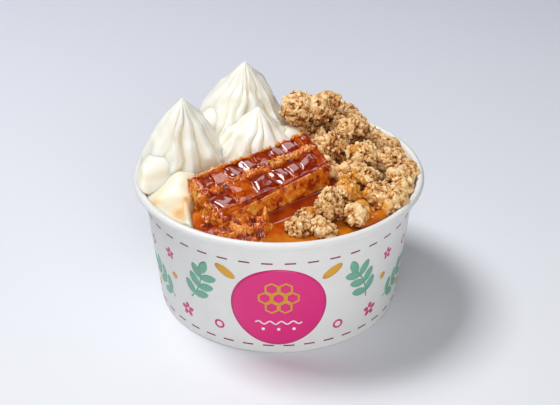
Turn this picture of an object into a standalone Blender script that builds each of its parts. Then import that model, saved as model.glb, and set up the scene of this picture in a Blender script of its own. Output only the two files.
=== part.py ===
"""Frozen yogurt in a round paper cup, with honeycomb, honey and granola on top.

Metres, +Z up. The origin is the centre of the cup's foot, at the level of the surface it stands on.
The comb lies across the front, the yogurt's three piped peaks stand at the left and the back, and
the granola is heaped at the right (+X). The front is -Y.
"""

import math

import bmesh
import bpy
import numpy as np

MM = 0.001
GAP = 0.3 * MM  # clearance that touching pieces keep

# Cup: a conical paper wall with a rolled rim, folded up at its foot round the skirt of a raised base.
SEGMENTS = 48
CUP_HEIGHT = 55.0 * MM
FOOT_RADIUS = 49.0 * MM
WALL_FLARE = 0.1  # outer radius gained for each unit of height
RIM_RADIUS = 58.0 * MM
BEAD_RADIUS = 1.55 * MM
BEAD_STEPS = 8
PAPER = 0.6 * MM
BASE_UNDERSIDE = 6.0 * MM
BASE_BOARD = 0.8 * MM
FOLD_HEIGHT = 5.0 * MM
SKIRT_FOOT = PAPER + GAP

# Frozen yogurt: a fill up to a shelf that is higher at the left, and piped peaks on it.
SHELF = 49.5 * MM
LEFT_SHELF_RISE = 3.5 * MM
LEFT_SHELF_FROM, LEFT_SHELF_TO = 18.0 * MM, 32.0 * MM  # distance left of the middle
COIL_RISE, COIL_RADIUS, COIL_WIDTH = 2.6 * MM, 46.0 * MM, 4.0 * MM  # the rope of yogurt laid along the wall
FLUTES = 10
FLUTE_DEPTH = 0.20
FLUTE_TWIST = math.radians(24)
PEAK_RINGS = 8
SKIRT_LOBE = ((-5.0, 0.96, 0.0), (1.5, 1.0, 0.1), (4.5, 1.03, 0.1), (7.5, 0.96, 0.3))  # mm up, width, fluting
PEAKS = {  # in mm: centre, radius, height of the tip, drop in which it spreads out, lean of the tip; turn in degrees
    "left": ((-38.0, 3.0), 17.3, 84.6, 30.0, (0.6, 0.0), 0),
    "rear": ((-15.4, 28.0), 19.8, 88.9, 31.0, (1.8, 0.6), 13),
    "middle": ((-8.8, 8.5), 18.0, 78.2, 23.0, (0.8, 0.0), 5),
}

# Honeycomb: a wedge cut from a comb and laid on its side, so that its midrib runs along the top
# with a row of opened cells on each side of it. Corners as left rear, right rear, right front, left front.
COMB_TOP = np.array([(-34.6, -21.4, 61.8), (11.0, 3.2, 69.4), (19.9, -12.5, 63.5), (-20.8, -43.4, 57.8)]) * MM
COMB_FOOT = np.array([(-34.6, -20.0, 51.0), (10.0, 5.2, 57.4), (18.9, -12.6, 52.3), (-21.4, -44.2, 48.5)]) * MM
COMB_LENGTH = 51.0 * MM
COMB_CELLS = 7
COMB_CELL_STEPS = 3
COMB_ROW_STEPS = 4
CELL_DEPTH = 1.1 * MM
COMB_EDGE = 0.12  # share of the half width that the rounded long edges take

# Honey: a pool in front of the comb, on a floor pressed into the yogurt, which climbs towards the granola.
POOL_FLOOR = 46.5 * MM
POOL_LEVEL = 51.0 * MM
POOL_CLIMB, POOL_CLIMB_AT, POOL_CLIMB_SPREAD = 4.6 * MM, (20.0 * MM, -12.0 * MM), 9.0 * MM
POOL_ARC = math.radians(234), math.radians(305)
POOL_BACK = np.array([(-34.0, -25.5), (-12.0, -22.5), (11.0, -9.5), (23.6, -9.4)]) * MM
POOL_STEPS = 13, 4

# Granola: a lumpy mound with clusters as large as berries lying on it and in the honey.
HEAP_FLOOR = SHELF + GAP
HEAP_EDGE = 51.0 * MM
HEAP_CREST, HEAP_CREST_AT, HEAP_SPREAD = 17.0 * MM, (14.0 * MM, 18.0 * MM), 18.0 * MM
HEAP_ARC = math.radians(-54), math.radians(86)
HEAP_END = math.radians(24)  # stretch of the arc in which the heap's far end slopes down
HEAP_BACK = np.array([(24.4, -9.0), (19.0, -1.0), (11.0, 6.0), (5.0, 16.0), (3.0, 26.0), (3.0, 37.0)]) * MM
HEAP_STEPS = 22, 8
HEAP_BUMP, HEAP_BUMP_PITCH = 1.5 * MM, 9.5 * MM
CLUSTERS = (  # centre, half sizes along X, Y and Z, in mm
    ((13.2, 17.0, 73.5), (11.2, 8.4, 7.8)),
    ((29.0, 16.0, 67.0), (7.6, 7.0, 6.0)),
    ((22.0, 3.2, 64.0), (5.8, 5.6, 5.4)),
    ((33.2, -1.5, 61.5), (6.4, 6.0, 6.0)),
    ((33.0, -13.5, 58.5), (6.6, 5.6, 4.8)),
    ((41.0, 20.0, 57.5), (6.0, 6.0, 5.0)),
    ((46.0, 4.0, 56.5), (6.4, 7.0, 5.6)),
    ((47.0, -10.5, 55.0), (5.4, 5.6, 5.2)),
    ((40.5, -24.0, 55.0), (6.8, 6.4, 6.2)),
    ((19.0, -33.0, 55.5), (5.4, 5.0, 6.8)),
    ((29.2, -36.0, 54.0), (4.6, 5.0, 5.0)),
    ((6.6, -42.5, 52.8), (4.4, 4.2, 4.0)),
    ((16.4, -43.8, 52.8), (4.8, 4.2, 3.9)),
    ((10.4, -33.6, 52.5), (3.4, 3.2, 3.2)),
    ((26.4, -22.8, 57.0), (4.8, 5.2, 4.6)),
    ((26.0, 32.0, 61.5), (7.4, 6.2, 5.4)),
    ((12.0, 37.0, 62.0), (6.0, 6.4, 5.6)),
    ((22.0, 43.5, 55.5), (5.6, 4.8, 4.8)),
    ((38.0, 32.0, 55.0), (5.4, 5.0, 4.6)),
)
BIG_CLUSTER = 6.2 * MM
CLUSTER_BUMPS = 9

ROOM_SPREAD = 1.025  # how much larger a pocket cut for a pool or a heap is than what lies in it

COLOURS = {  # base colour and roughness
    "printed_paper": ((0.86, 0.86, 0.86), 0.45),
    "plain_paper": ((0.88, 0.88, 0.86), 0.6),
    "yogurt": ((0.93, 0.91, 0.84), 0.35),
    "comb_wax": ((0.52, 0.17, 0.03), 0.25),
    "honey": ((0.60, 0.20, 0.02), 0.08),
    "granola": ((0.66, 0.42, 0.20), 0.8),
}


def clear_scene():
    for item in list(bpy.data.objects):
        bpy.data.objects.remove(item)


def material(name):
    found = bpy.data.materials.get(name)
    if found:
        return found
    made = bpy.data.materials.new(name)
    made.use_nodes = True
    colour, roughness = COLOURS[name]
    shader = made.node_tree.nodes["Principled BSDF"]
    shader.inputs["Base Color"].default_value = (*colour, 1.0)
    shader.inputs["Roughness"].default_value = roughness
    made.diffuse_color = (*colour, 1.0)
    return made


def solid(name, points, faces, finish, sharp_degrees=40):
    """A closed mesh object with its faces pointing out."""
    mesh = bpy.data.meshes.new(name)
    mesh.from_pydata([tuple(point) for point in points], [], faces)
    shape = bmesh.new()
    shape.from_mesh(mesh)
    bmesh.ops.recalc_face_normals(shape, faces=shape.faces)
    shape.to_mesh(mesh)
    shape.free()
    mesh.shade_smooth()
    mesh.set_sharp_from_angle(angle=math.radians(sharp_degrees))
    made = bpy.data.objects.new(name, mesh)
    made.data.materials.append(material(finish))
    bpy.context.scene.collection.objects.link(made)
    return made


def cutter(made):
    made.hide_render = True
    made.display_type = "WIRE"
    return made


def combine(target, other, operation):
    boolean = target.modifiers.new(other.name, "BOOLEAN")
    boolean.operation = operation
    boolean.solver = "EXACT"
    boolean.object = other


def loft(rings, closed=False):
    """Points and faces of a skin over rings of equal count. Unless closed on itself, its ends are capped."""
    count = len(rings[0])
    points = np.concatenate(rings)
    faces = []
    last = len(rings) if closed else len(rings) - 1
    for i in range(last):
        below, above = i * count, (i + 1) % len(rings) * count
        for j in range(count):
            k = (j + 1) % count
            faces.append((below + j, below + k, above + k, above + j))
    if not closed:
        faces.append(tuple(range(count)))
        faces.append(tuple(range(len(points) - count, len(points))))
    return points, faces


def lathe(profile, closed):
    """A profile of (radius, height) points turned about the Z axis."""
    angles = np.arange(SEGMENTS) * math.tau / SEGMENTS
    rings = [
        np.stack([radius * np.cos(angles), radius * np.sin(angles), np.full(SEGMENTS, height)], axis=1)
        for radius, height in profile
    ]
    return loft(rings, closed)


def inner_radius(height):
    """Radius of the wall's inner face."""
    return FOOT_RADIUS + WALL_FLARE * height - PAPER


def inside_cup(points):
    """Points drawn in towards the axis until they clear the wall, whose facets stand a little inside its circle."""
    reach = np.hypot(points[:, 0], points[:, 1])
    room = inner_radius(np.minimum(points[:, 2], CUP_HEIGHT)) - 1.5 * GAP
    share = np.minimum(1, room / np.maximum(reach, MM))
    return points * np.stack([share, share, np.ones(len(points))], axis=1)


def smooth_step(value):
    share = np.clip(value, 0, 1)
    return share * share * (3 - 2 * share)


def along(route, shares):
    """Points at the given shares of the way along a route, measured by its straight pieces."""
    lengths = np.linalg.norm(np.diff(route, axis=0), axis=1)
    at = np.concatenate([[0], np.cumsum(lengths)]) / lengths.sum()
    return np.stack([np.interp(shares, at, route[:, axis]) for axis in range(route.shape[1])], axis=1)


# Cup


def cup_wall():
    """Wall, rolled rim and the foot's fold, as one turned profile."""
    bead_radius = RIM_RADIUS - BEAD_RADIUS
    bead_height = CUP_HEIGHT - BEAD_RADIUS
    turns = np.linspace(math.pi, math.radians(-135), BEAD_STEPS)
    bead = [
        (bead_radius + BEAD_RADIUS * math.cos(turn), bead_height + BEAD_RADIUS * math.sin(turn))
        for turn in turns
    ]
    neck = bead_height - 1.6 * BEAD_RADIUS
    fold_outer = inner_radius(0) - PAPER - 2 * GAP
    profile = [
        (FOOT_RADIUS, 0),
        (fold_outer - PAPER, 0),
        (fold_outer - PAPER, FOLD_HEIGHT),
        (fold_outer, FOLD_HEIGHT),
        (fold_outer, PAPER),
        (inner_radius(PAPER), PAPER),
        (inner_radius(neck), neck),
        *bead,
        (inner_radius(neck) + PAPER, neck),
    ]
    return solid("cup_wall", *lathe(profile, closed=True), "printed_paper")


def cup_base():
    """The round base board and the skirt that hangs from it into the foot's fold."""
    outer = inner_radius(0) - GAP
    top = BASE_UNDERSIDE + BASE_BOARD
    profile = [
        (2 * MM, BASE_UNDERSIDE),
        (outer - PAPER, BASE_UNDERSIDE),
        (outer - PAPER, SKIRT_FOOT),
        (outer, SKIRT_FOOT),
        (outer, top),
        (2 * MM, top),
    ]
    return solid("cup_base", *lathe(profile, closed=False), "plain_paper")


# Frozen yogurt


def shelf_height(x, y):
    """Level of the fill: flat, raised at the left, with a rounded coil along the wall at the left and back."""
    rise = LEFT_SHELF_RISE * smooth_step((-x - LEFT_SHELF_FROM) / (LEFT_SHELF_TO - LEFT_SHELF_FROM))
    coil = COIL_RISE * np.exp(-(((np.hypot(x, y) - COIL_RADIUS) / COIL_WIDTH) ** 2))
    return SHELF + rise - COIL_RISE / 2 + coil * smooth_step(-x / COIL_WIDTH)


def yogurt_fill():
    floor = BASE_UNDERSIDE + BASE_BOARD + GAP
    angles = np.arange(SEGMENTS) * math.tau / SEGMENTS
    bottom = inner_radius(floor) - GAP
    rings = [np.stack([bottom * np.cos(angles), bottom * np.sin(angles), np.full(SEGMENTS, floor)], axis=1)]
    top = inner_radius(SHELF) - GAP
    for share in (1.0, 0.94, 0.87, 0.79, 0.7, 0.4):
        x, y = share * top * np.cos(angles), share * top * np.sin(angles)
        rings.append(np.stack([x, y, shelf_height(x, y)], axis=1))
    return solid("frozen_yogurt", *loft(rings), "yogurt")


def peak(name, grow=0.0):
    """A piped peak: a lobed skirt, then a cone that narrows with the sine of the way up to its tip.

    Its radius dips sharply in the valleys between rounded ridges, as |cos| of half the flute angle does."""
    (x, y), radius, tip, drop, lean, turn = PEAKS[name]
    angles = np.arange(FLUTES * 3) * math.tau / (FLUTES * 3)
    rings = []
    crease = SHELF + (SKIRT_LOBE[-1][0] + 2.0) * MM
    heights = np.linspace(crease, tip * MM, PEAK_RINGS, endpoint=False)
    levels = [(SHELF + up * MM, width, fluting) for up, width, fluting in SKIRT_LOBE]
    levels += [(z, math.sin(min(1, (tip * MM - z) / (drop * MM)) * math.pi / 2), 1.0) for z in heights]
    levels.append((tip * MM - 0.6 * MM, 0.035, 1.0))
    for z, width, fluting in levels:
        share = max(0.0, (z - crease) / (tip * MM - crease))
        ridge = np.abs(np.cos(angles * FLUTES / 2))
        outline = (radius * MM + grow) * width * (1 - FLUTE_DEPTH * fluting * (1 - ridge)) + grow
        centre = np.array([x + lean[0] * share, y + lean[1] * share]) * MM
        turned = angles + math.radians(turn) + FLUTE_TWIST * share
        rings.append(
            np.stack(
                [
                    centre[0] + outline * np.cos(turned),
                    centre[1] + outline * np.sin(turned),
                    np.full(len(angles), z + (grow if share > 0 else 0)),
                ],
                axis=1,
            )
        )
    points, faces = loft(rings)
    return cutter(solid(f"{name}_peak{'_room' if grow else ''}", inside_cup(points), faces, "yogurt", 60))


# Honeycomb


def comb_point(s, t, w):
    """The block's own coordinates, each from -1 to 1, to space: along it, back to front, foot to top."""
    s, t, w = (np.asarray(value)[..., None] for value in (s, t, w))
    top, foot = (
        (1 - s) * (1 - t) * corners[0] + (1 + s) * (1 - t) * corners[1]
        + (1 + s) * (1 + t) * corners[2] + (1 - s) * (1 + t) * corners[3]
        for corners in (COMB_TOP, COMB_FOOT)
    )
    return ((1 + w) * top + (1 - w) * foot) / 8


def cell_sink(s, t):
    """How deep each opened cell's honey lies: a trough between the cell walls and the midrib."""
    cell = np.abs(np.sin((s + 1) / 2 * COMB_CELLS * math.pi))
    row = np.abs(np.sin(t * math.pi))
    return CELL_DEPTH * np.sqrt(cell) * np.sqrt(row)


def comb(name="honeycomb", grow=0.0):
    across = np.linspace(-1 + COMB_EDGE, 1 - COMB_EDGE, 2 * COMB_ROW_STEPS + 1)
    lengthwise = np.linspace(-1, 1, COMB_CELLS * COMB_CELL_STEPS + 1)
    more = 1 + 2 * grow / COMB_LENGTH
    wider = 1 + 5 * grow / COMB_LENGTH
    thicker = 1 + 10 * grow / COMB_LENGTH
    rings = []
    for s in lengthwise:
        top = comb_point(np.full(len(across), s * more), across * wider, np.full(len(across), thicker))
        if not grow:
            top[:, 2] -= cell_sink(s, across)
        side = np.array([(1, 0.72), (0.97, -0.3), (0.9, -0.97), (0, -1), (-0.9, -0.97), (-0.97, -0.3), (-1, 0.72)])
        around = comb_point(np.full(len(side), s * more), side[:, 0] * wider, side[:, 1] * thicker)
        rings.append(np.concatenate([top, around]))
    return solid(name, *loft(rings), "comb_wax")


# Pool and heap: patches of ground between an arc of the wall and a route inside it


def patch(arc, back, steps, level):
    """A grid of points from the wall's arc to the back route, lofted straight across."""
    shares = np.linspace(0, 1, steps[0] + 1)
    angles = arc[0] + (arc[1] - arc[0]) * shares
    rim = (inner_radius(level) - GAP) * np.stack([np.cos(angles), np.sin(angles)], axis=1)
    inner = along(back, shares)
    inward = np.linspace(0, 1, steps[1] + 1)[:, None, None]
    return rim * (1 - inward) + inner * inward


def widened(grid):
    """The patch with its border moved out from its middle by a little more than the gap."""
    middle = grid.mean(axis=(0, 1))
    inside = np.zeros(grid.shape, dtype=bool)
    inside[1:-1, 1:-1] = True
    return np.where(inside, grid, middle + (grid - middle) * ROOM_SPREAD)


def slab(name, grid, top, bottom, finish, room=False):
    """A closed block over a grid of ground points, with a shaped top and a flat underside."""
    if room:
        grid = widened(grid)
    rows, columns = grid.shape[:2]
    surface = np.concatenate([grid, top[..., None]], axis=2).reshape(-1, 3)
    index = np.arange(rows * columns).reshape(rows, columns)
    faces = []
    for i in range(rows - 1):
        for j in range(columns - 1):
            faces.append((index[i, j], index[i, j + 1], index[i + 1, j + 1]))
            faces.append((index[i, j], index[i + 1, j + 1], index[i + 1, j]))
    border = np.concatenate([index[0, :-1], index[:-1, -1], index[-1, :0:-1], index[:0:-1, 0]])
    under = surface[border]
    under[:, 2] = bottom
    start = len(surface)
    count = len(border)
    for i in range(count):
        k = (i + 1) % count
        faces.append((border[i], border[k], start + k, start + i))
    faces.append(tuple(range(start, start + count)))
    points = np.concatenate([surface, under])
    if not room:
        points = inside_cup(points)
    return solid(name, points, [tuple(int(v) for v in face) for face in faces], finish)


def honey_height(x, y):
    """Level of the pool, with a round rise at the comb's right end."""
    far = ((x - POOL_CLIMB_AT[0]) ** 2 + (y - POOL_CLIMB_AT[1]) ** 2) / (2 * POOL_CLIMB_SPREAD**2)
    return POOL_LEVEL + POOL_CLIMB * np.exp(-far)


def honey_pool():
    grid = patch(POOL_ARC, POOL_BACK, POOL_STEPS, POOL_LEVEL)
    top = honey_height(grid[..., 0], grid[..., 1])
    return slab("honey_pool", grid, top, POOL_FLOOR + GAP, "honey")


def pool_room():
    grid = patch(POOL_ARC, POOL_BACK, POOL_STEPS, POOL_LEVEL)
    return cutter(slab("pool_room", grid, np.full(grid.shape[:2], 60 * MM), POOL_FLOOR, "honey", room=True))


def heap_height(x, y):
    """A round mound, sloping off at its far end, with bumps in rows staggered by half a pitch."""
    far = ((x - HEAP_CREST_AT[0]) ** 2 + (y - HEAP_CREST_AT[1]) ** 2) / (2 * HEAP_SPREAD**2)
    row = y / (HEAP_BUMP_PITCH * 0.87)
    bumps = np.cos(math.tau * (x / HEAP_BUMP_PITCH + row / 2)) * np.cos(math.pi * row)
    end = smooth_step((HEAP_ARC[1] - np.arctan2(y, x)) / HEAP_END)
    return HEAP_EDGE + (0.25 + 0.75 * end) * HEAP_CREST * np.exp(-far) + HEAP_BUMP * bumps


def granola_heap():
    grid = patch(HEAP_ARC, HEAP_BACK, HEAP_STEPS, HEAP_EDGE)
    return slab("granola_heap", grid, heap_height(grid[..., 0], grid[..., 1]), HEAP_FLOOR, "granola")


def heap_room():
    grid = patch(HEAP_ARC, HEAP_BACK, HEAP_STEPS, HEAP_EDGE)
    top = heap_height(grid[..., 0], grid[..., 1]) + 2 * GAP
    return cutter(slab("heap_room", grid, top, POOL_FLOOR, "granola", room=True))


def cluster(number, grow=0.0):
    """A knobbly lump: an ellipsoid with round bumps spread evenly over it by the golden angle."""
    centre, half = (np.array(value) * MM for value in CLUSTERS[number])
    around, up = (13, 8) if half[0] > BIG_CLUSTER else (10, 6)
    shape = bmesh.new()
    bmesh.ops.create_uvsphere(shape, u_segments=around, v_segments=up, radius=1)
    random = np.random.default_rng(40 + number)
    golden = math.pi * (3 - math.sqrt(5))
    order = np.arange(CLUSTER_BUMPS)
    height = 1 - 2 * (order + 0.5) / CLUSTER_BUMPS
    turn = golden * order + random.uniform(0, math.tau)
    flat = np.sqrt(1 - height**2)
    knobs = np.stack([flat * np.cos(turn), flat * np.sin(turn), height], axis=1)
    lift = random.uniform(0.05, 0.22, CLUSTER_BUMPS)
    for vertex in shape.verts:
        direction = np.array(vertex.co)
        near = np.exp((knobs @ direction - 1) * 6)
        vertex.co = centre + direction * (0.88 + (lift * near).max()) * (half + grow)
    points = inside_cup(np.array([vertex.co for vertex in shape.verts]))
    faces = [tuple(vertex.index for vertex in face.verts) for face in shape.faces]
    shape.free()
    name = f"granola_cluster_{number + 1:02d}"
    return solid(name + ("_room" if grow else ""), points, faces, "granola", 70)


def build():
    clear_scene()
    cup_wall()
    cup_base()
    comb()
    comb_room = cutter(comb("comb_room", GAP))
    yogurt = yogurt_fill()
    for name in PEAKS:
        combine(yogurt, peak(name), "UNION")
    combine(yogurt, pool_room(), "DIFFERENCE")
    combine(yogurt, comb_room, "DIFFERENCE")
    peak_rooms = [peak(name, GAP) for name in ("rear", "middle")]
    heap = granola_heap()
    heap_cut = heap_room()
    honey = honey_pool()
    combine(honey, comb_room, "DIFFERENCE")
    for room in (comb_room, *peak_rooms):
        combine(heap, room, "DIFFERENCE")
    for number in range(len(CLUSTERS)):
        made = cluster(number)
        combine(made, heap_cut, "DIFFERENCE")
        for room in (comb_room, *peak_rooms):
            combine(made, room, "DIFFERENCE")
        combine(honey, cutter(cluster(number, GAP)), "DIFFERENCE")


build()
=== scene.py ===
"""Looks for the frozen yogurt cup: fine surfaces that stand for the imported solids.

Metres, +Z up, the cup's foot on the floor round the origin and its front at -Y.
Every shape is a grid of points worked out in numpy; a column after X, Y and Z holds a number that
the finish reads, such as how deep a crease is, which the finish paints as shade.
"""

import math

import bpy
import numpy as np
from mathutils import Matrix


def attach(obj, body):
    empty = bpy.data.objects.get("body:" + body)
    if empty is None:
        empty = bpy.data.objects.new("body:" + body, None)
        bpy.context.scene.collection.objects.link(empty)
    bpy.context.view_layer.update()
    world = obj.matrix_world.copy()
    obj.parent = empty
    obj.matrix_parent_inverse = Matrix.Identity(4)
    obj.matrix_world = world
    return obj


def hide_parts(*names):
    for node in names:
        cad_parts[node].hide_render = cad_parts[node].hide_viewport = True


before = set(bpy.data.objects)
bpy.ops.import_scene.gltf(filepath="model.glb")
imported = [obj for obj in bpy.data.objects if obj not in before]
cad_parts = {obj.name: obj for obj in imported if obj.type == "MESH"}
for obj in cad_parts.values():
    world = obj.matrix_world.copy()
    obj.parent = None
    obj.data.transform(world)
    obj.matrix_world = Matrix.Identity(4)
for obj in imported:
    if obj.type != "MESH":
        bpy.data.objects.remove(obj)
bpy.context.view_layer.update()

MM = 0.001
CUP_HEIGHT = 55.0 * MM
FOOT_RADIUS = 49.0 * MM
WALL_FLARE = 0.1
RIM_RADIUS = 58.0 * MM
BEAD_RADIUS = 1.55 * MM
PAPER = 0.6 * MM
SHELF = 49.5 * MM


# Shared tools


def smooth_step(value):
    share = np.clip(value, 0, 1)
    return share * share * (3 - 2 * share)


def cells_noise(points, pitch, seed):
    """Random values at the corners of cubes of the given pitch, blended smoothly between; from -1 to 1."""
    scaled = np.asarray(points) / pitch
    cell = np.floor(scaled).astype(np.int64)
    part = smooth_step(scaled - cell)
    total = np.zeros(scaled.shape[:-1])
    for corner in np.ndindex(2, 2, 2):
        at = cell + np.array(corner)
        mixed = at[..., 0] * 73856093 ^ at[..., 1] * 19349663 ^ at[..., 2] * 83492791 ^ seed * 26544357
        mixed = (mixed ^ (mixed >> 13)) * 1274126177 & 0xFFFFFFFF
        mixed = (mixed ^ (mixed >> 15)) * 2246822519 & 0xFFFFFFFF
        weight = np.prod(np.where(corner, part, 1 - part), axis=-1)
        total += weight * ((mixed ^ (mixed >> 16)) / 2**31 - 1)
    return total


def rough_noise(points, pitch, octaves, seed):
    """Noise of several pitches summed, each half the pitch and half the height of the one before."""
    return sum(cells_noise(points, pitch / 2**k, seed + k) / 2**k for k in range(octaves))


def skin(rings, closed=False):
    """Points and faces over a stack of rings of equal count, with a pole at each end unless joined end to end."""
    rows, columns, width = rings.shape
    index = np.arange(rows * columns).reshape(rows, columns)
    index = np.concatenate([index, index[:, :1]], axis=1)
    if closed:
        index = np.concatenate([index, index[:1]])
    quads = np.stack([index[:-1, :-1], index[:-1, 1:], index[1:, 1:], index[1:, :-1]], axis=-1).reshape(-1, 4)
    points = rings.reshape(-1, width)
    if closed:
        return points, [quads]
    first, last = index[0], index[-1]
    poles = np.stack([rings[0].mean(axis=0), rings[-1].mean(axis=0)])
    start = np.full(columns, len(points))
    fans = [
        np.stack([first[1:], first[:-1], start], axis=1),
        np.stack([last[:-1], last[1:], start + 1], axis=1),
    ]
    return np.concatenate([points, poles]), [quads, np.concatenate(fans)]


def block(top, bottom):
    """A closed block between two grids of points of the same shape, joined round their borders."""
    rows, columns = top.shape[:2]
    index = np.arange(rows * columns).reshape(rows, columns)
    quads = np.stack([index[:-1, :-1], index[:-1, 1:], index[1:, 1:], index[1:, :-1]], axis=-1).reshape(-1, 4)
    border = np.concatenate([index[0, :-1], index[:-1, -1], index[-1, :0:-1], index[:0:-1, 0]])
    after = np.roll(border, -1)
    count = rows * columns
    side = np.stack([after, border, border + count, after + count], axis=1)
    points = np.concatenate([top.reshape(count, -1), bottom.reshape(count, -1)])
    return points, [np.concatenate([quads, quads[:, ::-1] + count, side])]


def merged(shapes):
    """Several shapes' points and faces as one."""
    points, faces, start = [], {}, 0
    for shape_points, shape_faces in shapes:
        for group in shape_faces:
            faces.setdefault(group.shape[1], []).append(group + start)
        points.append(shape_points)
        start += len(shape_points)
    return np.concatenate(points), [np.concatenate(groups) for groups in faces.values()]


def volume(points, faces):
    """Signed volume inside a closed mesh: the sum over its triangles of their box product with the origin."""
    total = 0.0
    for group in faces:
        for k in range(1, group.shape[1] - 1):
            a, b, c = (points[group[:, at], :3] for at in (0, k, k + 1))
            total += np.einsum("ij,ij->i", a, np.cross(b, c)).sum()
    return total / 6


def piece(name, shape, finish, fields=()):
    """A smooth mesh that rides on the cup, its faces turned outwards, with the named columns as attributes."""
    points, faces = shape
    if volume(points, faces) < 0:
        faces = [group[:, ::-1] for group in faces]
    corners = np.concatenate([group.ravel() for group in faces])
    sizes = np.concatenate([np.full(len(group), group.shape[1]) for group in faces])
    mesh = bpy.data.meshes.new(name)
    mesh.vertices.add(len(points))
    mesh.vertices.foreach_set("co", points[:, :3].astype(np.float32).ravel())
    mesh.loops.add(len(corners))
    mesh.loops.foreach_set("vertex_index", corners.astype(np.int32))
    mesh.polygons.add(len(sizes))
    mesh.polygons.foreach_set("loop_start", (np.cumsum(sizes) - sizes).astype(np.int32))
    mesh.update(calc_edges=True)
    mesh.validate()
    mesh.shade_smooth()
    for column, field in enumerate(fields, start=3):
        held = mesh.attributes.new(field, "FLOAT", "POINT")
        held.data.foreach_set("value", points[:, column].astype(np.float32))
    made = bpy.data.objects.new(name, mesh)
    bpy.context.scene.collection.objects.link(made)
    mesh.materials.append(finish)
    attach(made, "root")
    return made


def ring_normals(rings):
    """Unit normals of a stack of rings, from the cross product of the steps round and along."""
    lengthwise = np.gradient(rings, axis=0)
    around = np.roll(rings, -1, axis=1) - np.roll(rings, 1, axis=1)
    normal = np.cross(around, lengthwise)
    normal /= np.linalg.norm(normal, axis=-1, keepdims=True) + 1e-12
    middle = rings.mean(axis=1, keepdims=True)
    return normal * np.sign(np.sum(normal * (rings - middle), axis=-1).mean())


def along(route, shares):
    """Points at the given shares of the way along a route, measured by its straight pieces."""
    lengths = np.linalg.norm(np.diff(route, axis=0), axis=1)
    at = np.concatenate([[0], np.cumsum(lengths)]) / lengths.sum()
    return np.stack([np.interp(shares, at, route[:, axis]) for axis in range(route.shape[1])], axis=1)


def wall_radius(height):
    """Radius of the wall's outer face."""
    return FOOT_RADIUS + WALL_FLARE * height


def inside_cup(points, gap=0.12 * MM, soft=0.0):
    """Points drawn in towards the axis until they clear the wall's inner face and the rim's bead.

    With a soft length k, room R and reach r, the new reach is R - k ln(1 + exp((R - r) / k)).
    """
    bead, level = RIM_RADIUS - BEAD_RADIUS, CUP_HEIGHT - BEAD_RADIUS
    neck = level - 1.6 * BEAD_RADIUS
    turns = np.linspace(0, math.pi / 2, 8)
    heights = np.concatenate([[0, neck], level + BEAD_RADIUS * np.sin(turns), [CUP_HEIGHT + 1.5 * MM, 64 * MM]])
    rooms = np.concatenate([[FOOT_RADIUS - PAPER, wall_radius(neck) - PAPER], bead - BEAD_RADIUS * np.cos(turns),
                            [bead + 0.8 * MM, bead - soft]])
    reach = np.hypot(points[..., 0], points[..., 1])
    room = np.interp(points[..., 2], heights, rooms) - gap
    drawn = np.minimum(reach, room)
    if soft:
        drawn = room - soft * np.logaddexp(0, (room - reach) / soft)
    share = np.maximum(drawn, 0) / np.maximum(reach, MM)
    return np.concatenate([points[..., :2] * share[..., None], points[..., 2:]], axis=-1)


# Finishes


class Finish:
    """A node material: its shader, and short ways to add nodes to it."""

    def __init__(self, name, **values):
        self.material = bpy.data.materials.new(name)
        self.material.use_nodes = True
        self.tree = self.material.node_tree
        self.shader = self.tree.nodes["Principled BSDF"]
        for socket, value in values.items():
            self.set(self.shader, socket.replace("_", " "), value)
        self.place = self.add("TexCoord").outputs["Object"]

    def set(self, node, socket, value):
        """Links a socket, or gives it a value."""
        target = node.inputs[socket]
        if isinstance(value, bpy.types.NodeSocket):
            self.tree.links.new(value, target)
        elif isinstance(value, tuple) and len(value) == 3 and target.type == "RGBA":
            target.default_value = (*value, 1.0)
        else:
            target.default_value = value

    def add(self, kind, settings=None, **inputs):
        node = self.tree.nodes.new("ShaderNode" + kind)
        for name, value in (settings or {}).items():
            setattr(node, name, value)
        for socket, value in inputs.items():
            self.set(node, socket.replace("_", " "), value)
        return node

    def field(self, name):
        return self.add("Attribute", {"attribute_name": name}).outputs["Fac"]

    def noise(self, pitch, detail=2.0):
        """Blender's noise with blotches of about the given size, from 0 to 1."""
        made = self.add("TexNoise", Vector=self.place, Scale=1 / pitch, Detail=detail)
        return made.outputs["Fac"]

    def ramp(self, value, stops):
        """Colours blended along a value."""
        node = self.add("ValToRGB", Fac=value)
        elements = node.color_ramp.elements
        while len(elements) < len(stops):
            elements.new(0.5)
        for element, (at, colour) in zip(elements, stops):
            element.position = at
            element.color = (*colour, 1.0)
        return node.outputs["Color"]

    def mix(self, share, first, second, blend="MIX"):
        node = self.add("Mix", {"data_type": "RGBA", "blend_type": blend})
        for index, value in ((0, share), (6, first), (7, second)):
            if isinstance(value, bpy.types.NodeSocket):
                self.tree.links.new(value, node.inputs[index])
            else:
                node.inputs[index].default_value = (*value, 1.0) if isinstance(value, tuple) else value
        return node.outputs[2]

    def maths(self, operation, *values):
        node = self.add("Math", {"operation": operation})
        for index, value in enumerate(values):
            if isinstance(value, bpy.types.NodeSocket):
                self.tree.links.new(value, node.inputs[index])
            else:
                node.inputs[index].default_value = value
        return node.outputs[0]

    def bump(self, height, depth, strength=1.0):
        """Relief finer than the mesh, of the given depth."""
        node = self.add("Bump", Height=height, Distance=depth, Strength=strength)
        self.set(self.shader, "Normal", node.outputs["Normal"])


def paper_finish():
    made = Finish("coated_paper", Roughness=0.42)
    made.set(made.shader, "Base Color", made.ramp(made.noise(9 * MM, 3.0), (
        (0.3, (0.75, 0.75, 0.74)), (0.7, (0.785, 0.785, 0.778)))))
    made.bump(made.noise(0.5 * MM, 3.0), 0.02 * MM, 0.5)
    return made.material


def board_finish():
    made = Finish("bare_board", Roughness=0.7)
    made.set(made.shader, "Base Color", made.ramp(made.noise(0.8 * MM, 4.0), (
        (0.3, (0.74, 0.73, 0.70)), (0.7, (0.82, 0.81, 0.78)))))
    made.bump(made.noise(0.4 * MM, 3.0), 0.04 * MM)
    return made.material


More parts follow.
